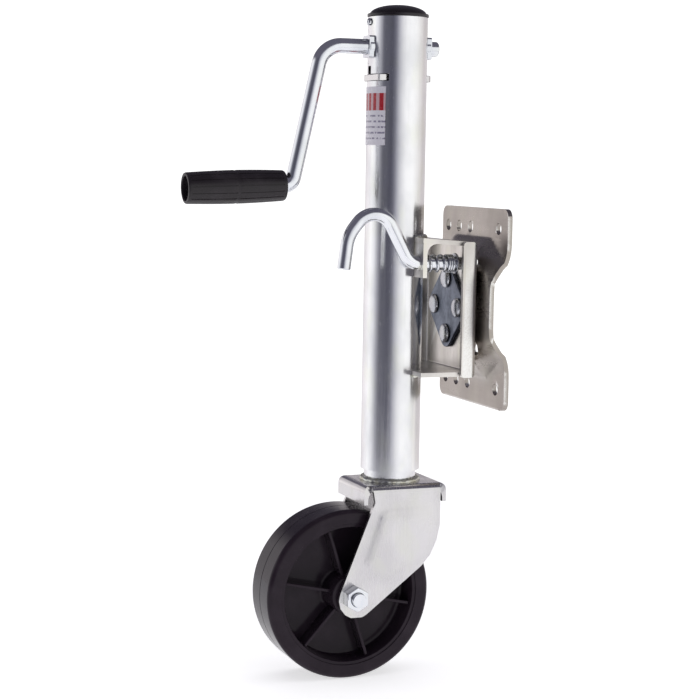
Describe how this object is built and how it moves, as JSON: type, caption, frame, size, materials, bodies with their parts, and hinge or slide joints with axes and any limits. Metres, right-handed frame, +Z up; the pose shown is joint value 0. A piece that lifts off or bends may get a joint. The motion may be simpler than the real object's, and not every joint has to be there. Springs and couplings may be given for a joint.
{
  "type": "trailer tongue jack",
  "caption": "Swing-up trailer tongue jack: side crank, bevel gears, lead screw, telescoping ram, sprung plunger lock, riveted swivel bracket and caster wheel",
  "frame": {"origin": "middle of the mounting plane, where the plate meets the trailer beam, at the height of the swing pivot", "axes": "+X into the beam (the plate's mounting normal), +Z up along the tube, -Y the side of the plunger lock"},
  "size_m": [0.2662, 0.1334, 0.5728],
  "materials": {
    "tube_zinc": "bright zinc plating, satin",
    "sheet_zinc": "zinc-plated pressed sheet, satin",
    "fork_zinc": "pale zinc-plated pressed sheet, satin",
    "bright_zinc": "bright zinc-plated bar",
    "blue_steel": "dark phosphated sheet",
    "plain_steel": "machined, oiled",
    "bronze": "machined bronze",
    "satin_black": "satin black moulding",
    "gloss_black": "gloss black moulding",
    "paper_label": "laminated printed sticker"
  },
  "bodies": {
    "mount": {"mount_plate": "sheet_zinc", "pivot_boss": "sheet_zinc", "retaining_plate": "blue_steel", "rivet_top": "bright_zinc", "rivet_bottom": "bright_zinc", "rivet_front": "bright_zinc", "rivet_back": "bright_zinc"},
    "jack": {"swivel_bracket": "sheet_zinc", "outer_tube": "tube_zinc", "top_cap": "satin_black", "cap_screw": "bright_zinc", "shaft_bush_outer": "bright_zinc", "shaft_bush_inner": "bright_zinc", "thrust_plate": "fork_zinc", "thrust_bearing": "plain_steel", "label": "paper_label"},
    "plunger": {"plunger_rod": "bright_zinc", "plunger_spring": "bright_zinc", "plunger_washer": "bright_zinc", "plunger_cross_pin": "bright_zinc"},
    "crank": {"crank_rod": "bright_zinc", "drive_pinion": "plain_steel", "pinion_pin": "plain_steel", "grip_push_nut": "bright_zinc"},
    "grip": {"crank_grip": "satin_black"},
    "screw": {"lead_screw": "plain_steel", "screw_gear": "plain_steel", "gear_pin": "plain_steel"},
    "lift": {"lift_nut": "bronze"},
    "caster": {"ram_tube": "tube_zinc", "caster_fork": "fork_zinc", "axle_bolt": "bright_zinc", "axle_nut": "bright_zinc", "axle_sleeve": "plain_steel"},
    "wheel": {"wheel": "gloss_black"}
  },
  "joints": [
    {"name": "swing", "type": "hinge", "parent": "mount", "child": "jack", "pos_m": [0, 0, 0], "axis": [1, 0, 0], "range_deg": [-90, 90]},
    {"name": "plunger_pull", "type": "slide", "parent": "jack", "child": "plunger", "axis": [-1, 0, 0], "range_m": [0, 0.011], "stiffness_N_per_m": 800, "springref_m": -0.012, "deforming": ["plunger_spring"]},
    {"name": "crank_turn", "type": "hinge", "parent": "jack", "child": "crank", "pos_m": [-0.0796, 0, 0.22], "axis": [1, 0, 0], "range_deg": [0, 19200]},
    {"name": "grip_spin", "type": "hinge", "parent": "crank", "child": "grip", "pos_m": [-0.18026, 0, 0.10243], "axis": [-0.9993, 0, -0.0366], "continuous": true},
    {"name": "screw_turn", "type": "hinge", "parent": "jack", "child": "screw", "pos_m": [-0.0796, 0, 0.1902], "axis": [0, 0, 1], "range_deg": [0, 14400]},
    {"name": "lift", "type": "slide", "parent": "jack", "child": "lift", "axis": [0, 0, -1], "range_m": [0, 0.254]},
    {"name": "caster_swivel", "type": "hinge", "parent": "lift", "child": "caster", "pos_m": [-0.0796, 0, -0.15], "axis": [0, 0, 1], "continuous": true},
    {"name": "wheel_roll", "type": "hinge", "parent": "caster", "child": "wheel", "pos_m": [-0.1238, 0, -0.2439], "axis": [0, 1, 0], "continuous": true}
  ],
  "couplings": [
    {"joint": "screw_turn", "follows": "crank_turn", "ratio": 0.75},
    {"joint": "lift", "follows": "crank_turn", "m_per_rad": 0.00075798}
  ]
}
